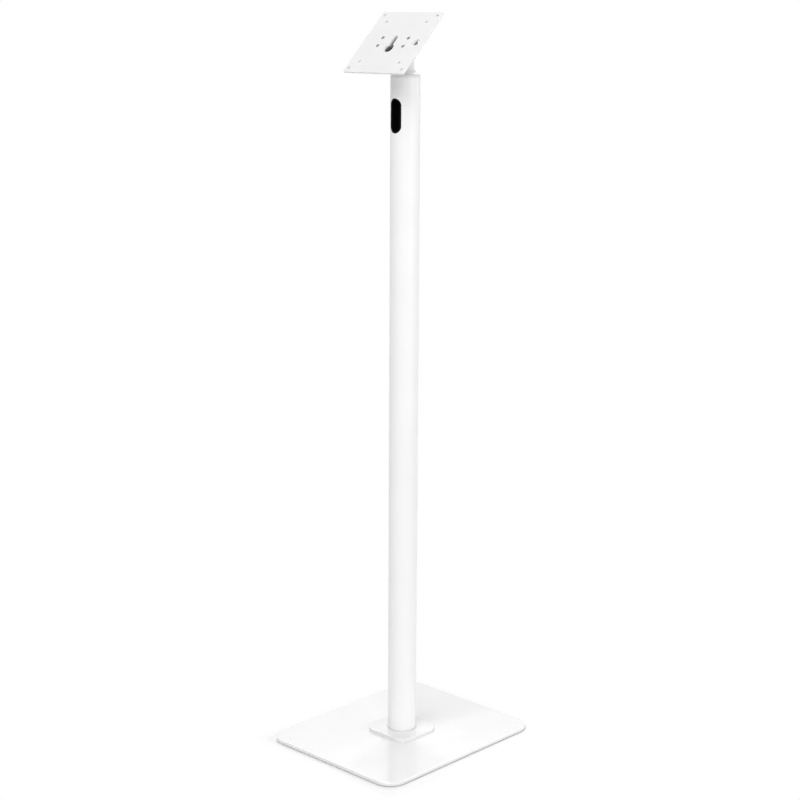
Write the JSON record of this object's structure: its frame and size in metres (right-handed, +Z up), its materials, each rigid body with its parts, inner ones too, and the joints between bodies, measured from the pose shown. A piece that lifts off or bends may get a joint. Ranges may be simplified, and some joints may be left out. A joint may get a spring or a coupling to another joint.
{
  "type": "tablet floor stand",
  "caption": "Floor stand for a tablet: flat rectangular base, tall round post with lined cable slots, and a swivelling, tilting square plate with display mounting holes.",
  "frame": {"origin": "on the floor under the middle of the base plate, on the post's axis", "axes": "+Z up along the post, -Y to the front, where the plate faces, +X to the right of someone who stands in front of the plate and looks at it"},
  "size_m": [0.253, 0.31, 1.0601],
  "materials": {
    "white_coat": "satin white powder coat",
    "black_rubber": "matt black rubber",
    "zinc_steel": "bright zinc plate",
    "black_steel": "dark phosphate",
    "natural_nylon": "natural moulded plastic"
  },
  "bodies": {
    "stand": {"base_plate": "white_coat", "foot_front_left": "black_rubber", "foot_front_right": "black_rubber", "foot_rear_left": "black_rubber", "foot_rear_right": "black_rubber", "flange_screws": "zinc_steel", "post_flange": "white_coat", "foot_weld": "white_coat", "post_tube": "white_coat", "front_grommet": "black_rubber", "rear_grommet": "black_rubber", "swivel_bush": "natural_nylon", "stop_screw": "black_steel"},
    "neck": {"neck": "white_coat", "drag_ring": "black_rubber"},
    "head": {"bracket_left": "black_steel", "bracket_right": "black_steel", "friction_washer_left": "natural_nylon", "friction_washer_right": "natural_nylon", "pivot_bolt": "zinc_steel", "bolt_washer": "zinc_steel", "nut_washer": "zinc_steel", "disc_spring_inner": "black_steel", "disc_spring_outer": "black_steel", "lock_nut": "zinc_steel", "head_plate": "white_coat", "plate_screws": "black_steel"}
  },
  "joints": [
    {"name": "head_swivel", "type": "hinge", "parent": "stand", "child": "neck", "pos_m": [0, 0, 0.97], "axis": [0, 0, 1], "range_deg": [-90, 90]},
    {"name": "head_tilt", "type": "hinge", "parent": "neck", "child": "head", "pos_m": [0, -0.008, 1.002], "axis": [-1, 0, 0], "range_deg": [-45, 45]}
  ]
}
